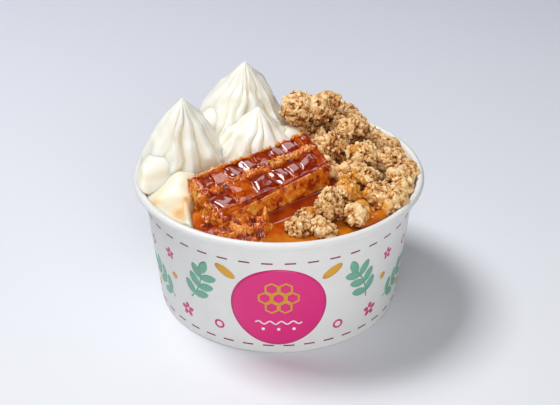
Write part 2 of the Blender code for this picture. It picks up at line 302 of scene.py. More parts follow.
def ink_finish(name, colour):
    made = Finish(name, Roughness=0.38)
    made.set(made.shader, "Base Color", colour)
    made.bump(made.noise(0.5 * MM, 3.0), 0.02 * MM, 0.5)
    return made.material


def yogurt_finish():
    made = Finish("frozen_yogurt", Roughness=0.38, Subsurface_Weight=0.75,
                  Subsurface_Radius=(1.0, 0.85, 0.65), Subsurface_Scale=3.5 * MM)
    # Painted shade: the crease field, with some noise, turns the white to cream in creases, valleys and over the fill.
    crease = made.maths("ADD", made.field("crease"), made.maths("MULTIPLY", made.noise(3 * MM), 0.12))
    white = made.ramp(crease, ((0.1, (0.91, 0.895, 0.82)), (0.5, (0.89, 0.86, 0.74)), (1.0, (0.81, 0.745, 0.57))))
    stain = made.maths("MULTIPLY", made.field("stain"), made.maths("ADD", made.noise(4 * MM, 3.0), 0.5))
    honeyed = made.ramp(stain, ((0.5, (0.80, 0.47, 0.15)), (1.0, (0.42, 0.17, 0.02))))
    share = made.add("MapRange", Value=stain, From_Max=0.6).outputs["Result"]
    made.set(made.shader, "Base Color", made.mix(share, white, honeyed))
    made.bump(made.noise(0.7 * MM, 4.0), 0.05 * MM, 0.5)
    return made.material


def comb_finish():
    made = Finish("comb_and_honey", Roughness=0.08, Specular_IOR_Level=0.5, Coat_Weight=0.2,
                  Coat_Roughness=0.03, Subsurface_Weight=0.25, Subsurface_Radius=(1.0, 0.3, 0.08),
                  Subsurface_Scale=1.5 * MM)
    speckle = made.maths("MULTIPLY", made.maths("SUBTRACT", made.noise(1.1 * MM, 5.0), 0.5), 0.8)
    wax = made.maths("ADD", made.field("wax"), speckle)
    made.set(made.shader, "Base Color", made.ramp(wax, (
        (0.0, (0.20, 0.009, 0.001)), (0.25, (0.38, 0.038, 0.002)), (0.5, (0.68, 0.15, 0.006)),
        (0.75, (0.74, 0.26, 0.018)), (1.0, (0.84, 0.47, 0.13)))))
    made.set(made.shader, "Roughness", made.add(
        "MapRange", Value=wax, From_Min=0.3, From_Max=1.0, To_Min=0.07, To_Max=0.42).outputs["Result"])
    made.bump(made.noise(0.9 * MM, 4.0), 0.10 * MM, 0.4)
    return made.material


def honey_finish():
    made = Finish("honey", Roughness=0.05, Specular_IOR_Level=0.32, Coat_Weight=0.4, Coat_Roughness=0.03,
                  Subsurface_Weight=0.3, Subsurface_Radius=(1.0, 0.35, 0.06), Subsurface_Scale=2 * MM)
    deep = made.maths("ADD", made.field("deep"), made.maths(
        "MULTIPLY", made.maths("SUBTRACT", made.noise(5 * MM, 3.0), 0.5), 1.1))
    made.set(made.shader, "Base Color", made.ramp(deep, (
        (0.0, (0.62, 0.19, 0.006)), (0.35, (0.50, 0.085, 0.003)), (0.65, (0.34, 0.032, 0.002)),
        (1.0, (0.20, 0.014, 0.002)))))
    return made.material


def granola_finish():
    made = Finish("granola", Roughness=0.62, Specular_IOR_Level=0.4)
    # Painted light and shade: the crest field makes knob tops lighter and creases and undersides darker; the noise adds
    # real toasted specks.
    crevice_shade_and_specks = made.maths("ADD", made.field("crest"), made.maths(
        "MULTIPLY", made.maths("SUBTRACT", made.noise(0.8 * MM, 5.0), 0.5), 1.0))
    colour = made.ramp(crevice_shade_and_specks, (
        (0.0, (0.12, 0.024, 0.003)), (0.22, (0.50, 0.20, 0.045)), (0.47, (0.86, 0.54, 0.225)),
        (0.85, (0.96, 0.77, 0.48))))
    tone = made.ramp(made.field("tone"), (
        (0.0, (0.84, 0.70, 0.55)), (0.4, (1.0, 1.0, 1.0)), (1.0, (1.0, 0.98, 0.94))))
    dry = made.mix(1.0, colour, tone, "MULTIPLY")
    glaze = made.field("glaze")
    made.set(made.shader, "Base Color", made.mix(glaze, dry, made.mix(0.85, dry, (0.74, 0.30, 0.020))))
    made.set(made.shader, "Roughness", made.add(
        "MapRange", Value=glaze, To_Min=0.62, To_Max=0.14).outputs["Result"])
    made.bump(made.noise(0.45 * MM, 5.0), 0.22 * MM, 0.8)
    return made.material


def floor_finish():
    """Pale, a little darker and bluer away from the camera: painted shade for the light falling off there."""
    made = Finish("studio_floor", Roughness=0.6, Specular_IOR_Level=0.2)
    depth = made.add("SeparateXYZ", Vector=made.place).outputs["Y"]
    share = made.add("MapRange", Value=depth, From_Min=-0.15, From_Max=0.35).outputs["Result"]
    made.set(made.shader, "Base Color", made.ramp(share, ((0.0, (0.81, 0.825, 0.865)), (1.0, (0.69, 0.71, 0.80)))))
    return made.material


# Cup

SEAM_ANGLE = math.radians(2.3)
SEAM_STEP = 0.35 * MM
SEAM_RUN = math.radians(24)


def seam(angles):
    """The paper's outer end laps over its inner end at the back: a slow rise, then a step down."""
    before = (SEAM_ANGLE - angles) / SEAM_RUN
    return SEAM_STEP * np.where(before >= 0, smooth_step(1 - before), 0)


def wall_angles(count):
    """Even angles with two more close together at the lap's edge."""
    even = np.linspace(-math.pi, math.pi, count, endpoint=False)
    return np.sort(np.concatenate([even, [SEAM_ANGLE - 1e-4, SEAM_ANGLE + 2e-3]]))


def cup_wall_piece(finish):
    """Wall, rolled rim and folded foot, one profile turned about Z; a faint ring is pressed below the rim."""
    bead_radius, bead_height = RIM_RADIUS - BEAD_RADIUS, CUP_HEIGHT - BEAD_RADIUS
    turns = np.linspace(math.pi, math.radians(-135), 26)
    bead = np.stack([bead_radius + BEAD_RADIUS * np.cos(turns), bead_height + BEAD_RADIUS * np.sin(turns)], axis=1)
    neck = bead_height - 1.6 * BEAD_RADIUS
    heights = np.linspace(neck, 0.9 * MM, 46)
    pressed = 0.16 * MM * np.exp(-(((heights - 48.2 * MM) / (0.9 * MM)) ** 2))
    outer = np.stack([wall_radius(heights) + pressed, heights], axis=1)
    inner_foot = FOOT_RADIUS - 2.6 * PAPER
    foot = np.array([(FOOT_RADIUS - 0.02 * MM, 0.3 * MM), (FOOT_RADIUS - 0.35 * MM, 0.0)])
    fold = np.array([(inner_foot - PAPER, 0.0), (inner_foot - PAPER, 5 * MM), (inner_foot, 5 * MM),
                     (inner_foot, PAPER), (FOOT_RADIUS - PAPER, PAPER)])
    inside = np.linspace(2 * MM, neck, 24)
    inner = np.stack([wall_radius(inside) - PAPER, inside], axis=1)
    profile = np.concatenate([outer, foot, fold, inner, bead])
    outward = np.zeros(len(profile))
    outward[: len(outer) + 1] = 1
    angles = wall_angles(256)
    radius = profile[:, None, 0] + outward[:, None] * seam(angles)
    rings = np.stack([radius * np.cos(angles), radius * np.sin(angles),
                      np.broadcast_to(profile[:, None, 1], radius.shape)], axis=-1)
    made = piece("paper_wall", skin(rings, closed=True), finish)
    made.data.set_sharp_from_angle(angle=math.radians(50))
    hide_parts("cup_wall")


def cup_base_piece(finish):
    """The round base board with its skirt, turned about Z, the edge rounded over and the board a little domed."""
    edge = FOOT_RADIUS - 1.5 * PAPER
    profile = [(2 * MM, 6.1 * MM), (20 * MM, 6.05 * MM), (edge - 2.2 * PAPER, 6 * MM), (edge - PAPER, 5.4 * MM),
               (edge - PAPER, 1.5 * PAPER), (edge, 1.5 * PAPER), (edge, 6.0 * MM), (edge - 0.8 * MM, 6.8 * MM),
               (20 * MM, 6.85 * MM), (2 * MM, 6.9 * MM)]
    profile = np.array(profile)
    angles = np.linspace(0, math.tau, 160, endpoint=False)
    rings = np.stack([profile[:, None, 0] * np.cos(angles), profile[:, None, 0] * np.sin(angles),
                      np.broadcast_to(profile[:, None, 1], (len(profile), len(angles)))], axis=-1)
    made = piece("paper_base", skin(rings), finish)
    made.data.set_sharp_from_angle(angle=math.radians(50))
    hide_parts("cup_base")


# Print: each mark is a thin closed film of ink on the wall

INK_UNDER, INK_TOP, INK_OVER = -0.05 * MM, 0.035 * MM, 0.07 * MM


def on_wall(flat, angle, height, lift):
    """Flat marks, in mm right and up of their middle, wrapped on the wall at an angle from its front."""
    z = height + flat[..., 1] * MM
    turned = math.radians(angle - 90) + flat[..., 0] * MM / wall_radius(height)
    turned = (turned + math.pi) % math.tau - math.pi
    radius = wall_radius(z) + lift + seam(turned)
    return np.stack([radius * np.cos(turned), radius * np.sin(turned), z], axis=-1)


def placed(flat, degrees=0.0, shift=(0.0, 0.0)):
    """A flat outline turned anticlockwise, then moved."""
    turn = math.radians(degrees)
    matrix = np.array([[math.cos(turn), math.sin(turn)], [-math.sin(turn), math.cos(turn)]])
    return flat @ matrix + np.array(shift)


def blob(outline, angle, height, rows=3, lift=INK_TOP):
    """Ink inside an outline: rings that shrink to its middle, over and under."""
    middle = outline.mean(axis=0)
    shares = np.linspace(1 / rows, 1, rows)
    flats = middle + (outline - middle) * shares[:, None, None]
    over = on_wall(flats, angle, height, lift)
    under = on_wall(flats, angle, height, INK_UNDER)
    return skin(np.concatenate([over, under[::-1]]))


def stroke(path, width, angle, height, closed=False, lift=INK_TOP):
    """Ink along a path: the four corners of a thin band carried along it."""
    step = np.roll(path, -1, axis=0) - np.roll(path, 1, axis=0) if closed else np.gradient(path, axis=0)
    step /= np.linalg.norm(step, axis=1, keepdims=True)
    across = np.stack([-step[:, 1], step[:, 0]], axis=1) * width / 2
    sides = [(path + across, lift), (path - across, lift), (path - across, INK_UNDER), (path + across, INK_UNDER)]
    return skin(np.stack([on_wall(flat, angle, height, up) for flat, up in sides], axis=1), closed)


def ellipse(half_long, half_wide, point=1.0, count=28):
    """An outline x = a cos u, y = b sin u |sin u|^(point - 1), so that a larger point sharpens its two ends."""
    turn = np.linspace(0, math.tau, count, endpoint=False)
    wave = np.sin(turn)
    return np.stack([half_long * np.cos(turn), half_wide * wave * np.abs(wave) ** (point - 1)], axis=1)


def sprig(angle, height, degrees, pairs=3):
    """A bent stem with pairs of pointed leaves and one at its tip."""
    t = np.linspace(-1, 1, 14)
    stem = np.stack([1.4 * (1 - t**2), 8.0 * t], axis=1)
    marks = [stroke(placed(stem, degrees), 0.7, angle, height)]
    leaf = ellipse(3.6, 1.85, 1.25)
    for k in range(pairs):
        at = np.array([1.4 * (1 - (0.62 * k - 0.65) ** 2), 8.0 * (0.62 * k - 0.65)])
        for side in (-1, 1):
            lean = 90 - side * 52
            reach = 3.5 * np.array([math.cos(math.radians(lean)), math.sin(math.radians(lean))])
            marks.append(blob(placed(placed(leaf, lean, at + reach), degrees), angle, height))
    marks.append(blob(placed(placed(leaf, 90, (0.0, 10.4)), degrees), angle, height))
    return marks


def blossom(angle, height, size, petals=5):
    """Round petals about a bare middle."""
    petal = ellipse(0.42 * size, 0.3 * size)
    return [
        blob(placed(petal, 360 * k / petals + 90, 0.62 * size * np.array([
            math.cos(math.radians(360 * k / petals + 90)), math.sin(math.radians(360 * k / petals + 90))])),
            angle, height)
        for k in range(petals)
    ]


def hoop(angle, height, size):
    return [stroke(ellipse(size, size, count=32), 0.9, angle, height, closed=True)]


def print_pieces():
    """Dashed rows above and below, a disc at the front and the back, and sprigs, blossoms and bars between."""
    dash = np.stack([np.linspace(-2.1, 2.1, 5), np.zeros(5)], axis=1)
    dashes = [
        stroke(dash, 0.65, (k + 0.5) * 360 / count, height * MM)
        for height, count in ((44.0, 39), (4.0, 39))
        for k in range(count)
    ]
    sixth = np.arange(7) * math.tau / 6
    cell = along(2.6 * np.stack([np.sin(sixth), np.cos(sixth)], axis=1), np.linspace(0, 1, 36, endpoint=False))
    wave = np.linspace(-9, 9, 70)
    rule = np.stack([wave, 0.7 * np.sin(wave * math.tau / 4.5)], axis=1)
    disc, gold, white, teal, pink = [], [], [], [], []
    for face in (0, 180):
        disc.append(blob(ellipse(18.4, 18.4, count=120), face, 23 * MM, rows=12))
        for k in range(7):
            out = 5.2 * min(k, 1)
            at = (out * math.cos(k * math.tau / 6), 4.6 + out * math.sin(k * math.tau / 6))
            gold.append(stroke(cell + np.array(at), 0.75, face, 23 * MM, True, INK_OVER))
        white.append(stroke(rule + np.array([0, -7.4]), 0.6, face, 23 * MM, False, INK_OVER))
        for spot in (-6.0, 0.0, 6.0):
            white.append(blob(placed(ellipse(0.7, 0.7), 0, (spot, -10.6)), face, 23 * MM, 3, INK_OVER))
        for side in (-1, 1):
            teal += sprig(face + side * 37.5, 27 * MM, side * 24)
            teal += sprig(face + side * 62, 17 * MM, side * -62)
            pink += blossom(face + side * 45, 11.5 * MM, 3.2)
            pink += blossom(face + side * 53, 35 * MM, 2.6)
            pink += blossom(face + side * 85, 37 * MM, 2.2)
            teal += sprig(face + side * 82, 22 * MM, side * 14, 1)
            pink += hoop(face + side * 27, 11 * MM, 1.7)
            pink += hoop(face + side * 70, 33 * MM, 1.7)
            bar = ellipse(4.6, 1.9)
            gold.append(blob(placed(bar, side * 34), face + side * 22.3, 38 * MM))
            gold.append(blob(placed(bar, side * -30), face + side * 76, 9.5 * MM))
            gold.append(blob(placed(ellipse(1.6, 1.6)), face + side * 51.5, 25 * MM))
    for name, marks, colour in (
        ("print_dashes", dashes, (0.25, 0.013, 0.075)), ("print_disc", disc, (0.71, 0.014, 0.195)),
        ("print_gold", gold, (0.70, 0.35, 0.025)), ("print_white", white, (0.85, 0.84, 0.84)),
        ("print_teal", teal, (0.16, 0.42, 0.30)), ("print_pink", pink, (0.62, 0.04, 0.20)),
    ):
        piece(name, merged(marks), ink_finish("ink" + name[5:], colour))


# Frozen yogurt

POOL_LEVEL = 51.0 * MM
POOL_ARC = math.radians(229.5), math.radians(305)
POOL_BACK = np.array([(-36.5, -24.5), (-12.0, -22.5), (11.0, -9.5), (23.6, -9.4)]) * MM
COIL_RISE, COIL_RADIUS, COIL_WIDTH = 2.6 * MM, 46.0 * MM, 4.0 * MM
FLUTE_TWIST = math.radians(10)
PEAKS = {  # in mm: centre, radius, tip height, drop in which it spreads, lean of the tip; a number that only seeds the sway of the pleats
    "left": ((-38.0, 3.0), 17.3, 84.6, 30.0, (0.6, 0.0), 0),
    "rear": ((-15.4, 28.0), 19.8, 88.9, 31.0, (1.8, 0.6), 13),
    "middle": ((-8.8, 8.5), 18.0, 78.2, 23.0, (0.8, 0.0), 5),
}
PLEATS = {  # degrees round the peak from +X, and how deep each valley is
    "left": ((-156, 0.55), (-118, 0.75), (-93, 1.45), (-60, 0.95), (-24, 0.7), (14, 0.8), (50, 1.0), (93, 0.7),
             (130, 1.0), (168, 0.6)),
    "rear": ((-155, 0.7), (-124, 0.5), (-99, 0.6), (-80, 1.4), (-50, 1.0), (-26, 0.7), (10, 0.9), (48, 0.6),
             (82, 1.1), (118, 0.7), (160, 0.9)),
    "middle": ((-168, 0.7), (-132, 0.55), (-103, 0.95), (-78, 0.8), (-47, 1.2), (-15, 0.6), (25, 0.9), (66, 0.7),
               (105, 1.1), (150, 0.8)),
}
SKIRT = ((-7.0, 0.90), (-2.0, 0.985), (2.0, 1.01), (5.0, 1.02), (8.0, 0.985), (9.5, 0.955))  # mm up, width


def ridge_wave(angles, pleats):
    """(0 in each valley and 1 on each crest, depth of the nearest valley), for angles in radians."""
    valleys, depths = np.array(sorted(pleats)).T
    valleys = np.radians(valleys)
    knots = np.concatenate([valleys, [valleys[0] + math.tau]])
    place = np.interp((angles - knots[0]) % math.tau + knots[0], knots, np.arange(len(knots)))
    ends = np.concatenate([depths, [depths[0]]])
    depth = np.interp(place, np.arange(len(knots)), ends)
    return np.abs(np.sin(math.pi * place)) ** (1.15 - 0.4 * depth), depth


def yogurt_peak(name, finish):
    """A piped peak: its width falls off with a sine up to the tip, and uneven pleats run down it to a soft skirt."""
    (x, y), radius, tip, drop, lean, turn = PEAKS[name]
    angles = np.linspace(0, math.tau, 288, endpoint=False)
    up_from = SHELF / MM - 8.0
    shares = np.linspace(0, 1, 144)
    z = up_from + (tip - up_from) * (1 - (1 - shares) ** 1.25)
    skirt_up, skirt_width = np.array(SKIRT).T
    crease = SHELF / MM + skirt_up[-1]
    cone = np.sin(np.clip((tip - z) / drop, 0, 1) * math.pi / 2)
    width = np.where(z < crease, np.interp(z - SHELF / MM, skirt_up, skirt_width), cone)
    kernel = np.hanning(7) / np.hanning(7).sum()
    width[4:-4] = np.convolve(width, kernel, "same")[4:-4]
    rise = np.clip((z - crease) / (tip - crease), 0, 1)[:, None]
    sway = radius * np.stack([np.cos(angles) + 0 * rise, np.sin(angles) + 0 * rise, z[:, None] / radius + 0 * angles],
                             axis=-1)
    swayed = angles - FLUTE_TWIST * rise + 0.15 * rough_noise(sway, 9.0, 2, 7 + turn)
    wave, depth = ridge_wave(swayed, PLEATS[name])
    fine, _ = ridge_wave(2.6 * swayed + 1.0, PLEATS[name])
    pleat = 0.12 + 0.88 * smooth_step((z[:, None] - crease + 2.5) / 6.5)
    pleat = pleat * (1 - 0.2 * rise)
    cut = 0.185 * pleat * (1 - wave) * depth + 0.028 * pleat * (1 - fine)
    outline = radius * width[:, None] * (1 - cut)
    centre_x, centre_y = x + lean[0] * rise**2, y + lean[1] * rise**2
    rings = np.stack([centre_x + outline * np.cos(angles), centre_y + outline * np.sin(angles),
                      np.broadcast_to(z[:, None], outline.shape)], axis=-1) * MM
    soft = rough_noise(rings, 8 * MM, 2, 5)
    rings += ring_normals(rings) * (soft * 1.1 * MM * np.clip((tip - z) / 8, 0, 1)[:, None])[..., None]
    rings = inside_cup(rings)
    # Painted shade: cream down each pleat's valley and in a band along the skirt's crease line.
    fold = np.exp(-(((z[:, None] - crease) / 1.4) ** 2)) * 0.5
    painted_crease_shade = np.clip(0.9 * pleat * (1 - wave) * depth + fold, 0, 1)
    rings = np.concatenate([rings, painted_crease_shade[..., None]], axis=-1)
    return piece(f"yogurt_peak_{name}", skin(rings), finish, ["crease"])


def shelf_height(x, y):
    """Level of the fill: flat, raised at the left, with a rounded coil along the wall at the left and back."""
    rise = 3.5 * MM * smooth_step((-x - 18 * MM) / (14 * MM))
    coil = COIL_RISE * np.exp(-(((np.hypot(x, y) - COIL_RADIUS) / COIL_WIDTH) ** 2))
    return SHELF + rise - COIL_RISE / 2 + coil * smooth_step(-x / COIL_WIDTH)


def fill_level(x, y):
    """The shelf, thick at the left, sunk under the pool behind a raised tongue, and drawn up against each peak."""
    z = shelf_height(x, y)
    reach = np.hypot(x, y)
    left = smooth_step((-x - 20 * MM) / (12 * MM)) * smooth_step((reach - 45 * MM) / (4 * MM))
    z = z + np.maximum(55.4 * MM - z, 0) * left
    ground = np.stack([x, y, 0 * x], axis=-1)
    layer = 55.2 * MM - 0.5 * MM * smooth_step((reach - 47 * MM) / (6 * MM)) + 1.5 * MM * cells_noise(ground, 7.5 * MM, 4)
    layer = layer + 4.2 * MM * smooth_step((x + 48 * MM) / (10 * MM)) * smooth_step((y + 27 * MM) / (13 * MM))
    share = smooth_step((-30 * MM - x) / (3 * MM)) * smooth_step((-1 * MM - y) / (6 * MM))
    z = z * (1 - share) + layer * share
    for (peak_x, peak_y), radius, *_ in PEAKS.values():
        gap = np.hypot(x - peak_x * MM, y - peak_y * MM) - radius * MM
        z = z + 3.0 * MM * np.exp(-np.maximum(gap, 0) / (1.8 * MM)) * (1 - share)
    back = np.interp(x, POOL_BACK[:, 0], POOL_BACK[:, 1])
    edge = -32.8 * MM + 0.7 * MM * np.sin(y / (4 * MM))
    pool = smooth_step((x - edge) / (1.6 * MM)) * smooth_step((back + 2 * MM - y) / (3 * MM))
    z = z * (1 - pool) + 48.0 * MM * pool
    tongue = np.exp(-(((x - edge + 1.4 * MM) / (1.2 * MM)) ** 2))
    return z + 0.9 * MM * tongue * smooth_step((-22 * MM - y) / (4 * MM))


STAINS = ((-37.0, -36.0, 2.8, 5.2, 0.62), (-46.8, -27.0, 3.0, 2.0, 0.45), (-51.4, -19.0, 1.8, 1.4, 1.5),
          (-35.0, -28.0, 1.4, 3.0, 0.7))  # in mm: middle, reach along X and Y; then how strong


def yogurt_fill(finish):
    """The fill under the peaks: a disc at the fill's level, with a groove along the coil and soft waves."""
    angles = np.linspace(0, math.tau, 440, endpoint=False)
    floor = 7.2 * MM
    top = RIM_RADIUS - 2 * BEAD_RADIUS + 0.2 * MM
    shares = np.concatenate([np.linspace(0.04, 0.6, 20), np.linspace(0.61, 1.0, 90)])
    radius = top * shares[:, None]
    x, y = radius * np.cos(angles), radius * np.sin(angles)
    ground = np.stack([x, y, np.zeros(x.shape)], axis=-1)
    z = fill_level(x, y) + 0.4 * MM * rough_noise(ground, 12 * MM, 3, 21)
    edge = smooth_step((radius - (top - 1.6 * MM)) / (1.6 * MM))
    z = z - 0.5 * MM * edge**2
    stain = sum(
        share * np.exp(-(((x - at_x * MM) / (wide * MM)) ** 2) - ((y - at_y * MM) / (deep * MM)) ** 2)
        for at_x, at_y, wide, deep, share in STAINS)
    # Painted shade: the whole fill is shaded to cream, unevenly, and more so towards the wall.
    painted_fill_shade = 0.92 + 0.25 * cells_noise(ground, 7 * MM, 6)
    upper = np.stack([x, y, z, painted_fill_shade + 0.3 * edge, stain], axis=-1)
    sides = np.array([(wall_radius(up) - PAPER, up) for up in (50.0 * MM, 30 * MM, floor)] + [(0.5 * FOOT_RADIUS, floor)])
    low = sides[:, :1]
    lower = np.stack([low * np.cos(angles), low * np.sin(angles), sides[:, 1:] + 0 * angles, 0 * low + 0 * angles,
                      0 * low + 0 * angles], axis=-1)
    rings = inside_cup(np.concatenate([upper, lower]))
    made = piece("yogurt_fill", skin(rings), finish, ["crease", "stain"])
    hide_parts("frozen_yogurt")


def lobe(centre, half, degrees, ripple=0.0, rows=90, columns=160):
    """(points, height share) of an ellipsoid turned about Z, in mm, its width rippled by the given amounts."""
    turn = np.linspace(0, math.tau, columns, endpoint=False)
    rise = np.linspace(-0.985, 0.985, rows)[:, None]
    flat = np.sqrt(1 - rise**2) * (1 - ripple)
    spin = math.radians(degrees)
    x, y = flat * np.cos(turn) * half[0], flat * np.sin(turn) * half[1]
    ball = np.stack([x * math.cos(spin) - y * math.sin(spin), x * math.sin(spin) + y * math.cos(spin),
                     np.broadcast_to(rise * half[2], x.shape)], axis=-1)
    return (ball + np.array(centre)) * MM, np.broadcast_to(rise, x.shape)


def yogurt_lobe(name, centre, half, degrees, folds, finish):
    """A soft lobe whose width ripples with the cosine of its height."""
    rise = np.linspace(-0.985, 0.985, 90)[:, None]
    fold = 0.5 - 0.5 * np.cos(rise * folds * math.pi)
    rings, _ = lobe(centre, half, degrees, 0.1 * fold)
    rings = rings + ring_normals(rings) * (0.5 * MM * rough_noise(rings, 8 * MM, 2, 31))[..., None]
    # Painted shade: cream over the whole lobe, deepest in its folds.
    crease = np.broadcast_to(0.25 + 0.5 * fold**3, rings.shape[:2])
    rings = np.concatenate([inside_cup(rings, soft=2.2 * MM), crease[..., None]], axis=-1)
    return piece(name, skin(rings), finish, ["crease"])


# Honeycomb

COMB_TOP = np.array([(-34.6, -21.4, 61.8), (11.0, 3.2, 69.4), (19.9, -12.5, 63.5), (-20.8, -43.4, 57.8)]) * MM
COMB_FOOT = np.array([(-34.6, -20.0, 51.0), (10.0, 5.2, 57.4), (19.9, -17.3, 52.3), (-22.0, -46.6, 48.5)]) * MM
CELLS = (  # corners in mm along the comb's top and from its middle to its front; share of wax; how far it domes up
    (((-25.2, -11.5), (-22.8, -11.3), (-23.2, -4.8), (-26.0, -5.0)), 0.32, -0.5),
    (((-22.2, -10.9), (-18.9, -10.5), (-18.0, -5.9), (-22.5, -5.0)), 0.10, 0.9),
    (((-17.8, -11.3), (-12.0, -11.0), (-12.2, -4.2), (-17.4, -4.6)), 0.26, -0.7),
    (((-11.3, -10.9), (-7.2, -10.2), (-6.0, -4.7), (-9.6, -2.7), (-11.4, -4.4)), 0.06, 1.0),
    (((-4.6, -11.0), (-0.9, -10.4), (0.4, -5.3), (-3.3, -4.2)), 0.06, 0.9),
    (((1.2, -11.2), (7.4, -10.8), (7.6, -4.0), (1.0, -4.2)), 0.14, -0.8),
    (((8.2, -8.1), (9.6, -10.9), (13.4, -10.7), (13.2, -4.2), (9.4, -3.2)), 0.06, 1.0),
    (((13.9, -10.6), (17.9, -9.6), (19.4, -5.0), (17.2, -3.6), (13.7, -4.0)), 0.08, 1.0),
    (((20.1, -10.4), (22.2, -10.2), (22.3, -3.2), (19.9, -3.4)), 0.36, -0.5),
    (((22.7, -9.4), (24.9, -8.9), (25.6, -5.1), (22.9, -4.0)), 0.20, 0.9),
    (((-24.0, 2.8), (-17.6, 1.0), (-16.3, 6.7), (-22.8, 9.4)), 0.06, 1.1),
    (((-15.4, -0.4), (-6.7, -0.2), (-7.0, 8.0), (-15.2, 8.3)), 0.34, -0.6),
    (((-5.9, 2.0), (0.6, 0.2), (2.6, 7.3), (-3.2, 8.2), (-6.0, 7.4)), 0.05, 1.1),
    (((4.0, 0.0), (7.9, 0.6), (9.1, 6.8), (5.3, 8.2)), 0.06, 1.1),
    (((10.0, 1.6), (14.2, 0.8), (14.9, 5.6), (10.6, 7.2)), 0.08, 1.0),
    (((15.6, 2.0), (21.9, -0.4), (22.0, 5.2), (15.4, 6.1)), 0.07, 1.0),
    (((22.7, -0.4), (25.4, 0.2), (25.3, 6.6), (22.8, 6.4)), 0.30, -0.6),
)


def comb_point(s, t, w):
    """The block's own coordinates, each from -1 to 1, to space: along it, back to front, foot to top."""
    s, t, w = (np.asarray(value)[..., None] for value in (s, t, w))
    top, foot = (
        (1 - s) * (1 - t) * corners[0] + (1 + s) * (1 - t) * corners[1]
        + (1 + s) * (1 + t) * corners[2] + (1 - s) * (1 + t) * corners[3]
        for corners in (COMB_TOP, COMB_FOOT)
    )
    return ((1 + w) * top + (1 - w) * foot) / 8


def depth_inside(outline, u, v):
    """Distance in mm inside a convex outline whose corners run clockwise as seen from above the comb."""
    corners = np.array(outline)
    ahead = np.roll(corners, -1, axis=0) - corners
    depth = np.full(u.shape, 99.0)
    for (at_u, at_v), (step_u, step_v) in zip(corners, ahead):
        aside = (step_u * (v - at_v) - step_v * (u - at_u)) / math.hypot(step_u, step_v)
        depth = -np.logaddexp(-4 * depth, -4 * aside) / 4
    return depth


def opened_cells(u, v, grain):
    """(relief in mm, share of wax) over the comb's top, from distances in mm along it and towards its front.

    Two rows of cells are sunk in dark honey, with a torn rib of wax between them and a crust behind. Honey domes up
    in the full cells and sags in the others, and the front border slopes down to the edge.
    """
    rear, front = (
        smooth_step((half + 0.4 - np.abs(v - middle)) / 0.9) for middle, half in ((-7.4, 3.9), (4.1, 4.5))
    )
    row = np.maximum(rear, front)
    nearest = np.full(u.shape, -9.0)
    cells = []
    for outline, share, bulge in CELLS:
        depth = depth_inside(outline, u, v)
        nearest = np.maximum(nearest, depth)
        cells.append((depth, np.mean(outline, axis=0), share, bulge))
    channel = -0.70 - 0.50 * np.clip(-nearest, 0, 1.6)
    rib = 0.25 - 0.8 * smooth_step(np.sin(0.55 * u + 0.8) * 2 - 1)
    relief = (rib + 0.8 * grain) * (1 - row) + channel * row
    amber = 0.13 + 0.10 * grain + 0.16 * np.clip(np.sin(0.42 * u + 0.5 * v), 0, 1)
    wax = (0.38 + 0.40 * grain + 0.2 * np.sin(0.9 * u)) * (1 - row) + amber * row
    for depth, (middle_u, middle_v), share, bulge in cells:
        inside = smooth_step((depth + 0.35) / 0.6)
        dome = 1 - (1 - np.clip(depth + 0.3, 0, 2.6) / 2.6) ** 3
        level = -0.80 + 0.60 * bulge * dome
        if bulge < 0:
            level = level + 0.55 - 0.12 * (u - middle_u) - 0.20 * (v - middle_v)
        relief = relief * (1 - inside) + level * inside
        wax = wax * (1 - inside) + (share + 0.16 * share * grain) * inside
    border = smooth_step((v - 8.0 - 0.5 * np.sin(0.7 * u)) / 0.8)
    relief = relief * (1 - border) - (0.15 + 0.30 * np.maximum(v - 8.0, 0)) * border
    relief = relief + 0.4 * np.exp(-(((v - 9.3) / 0.35) ** 2)) * (1 + 0.5 * grain)
    wax = wax * (1 - border) + (0.16 + 0.2 * np.clip(np.sin(0.31 * u + 1), 0, 1) + 0.2 * grain) * border
    return relief, wax


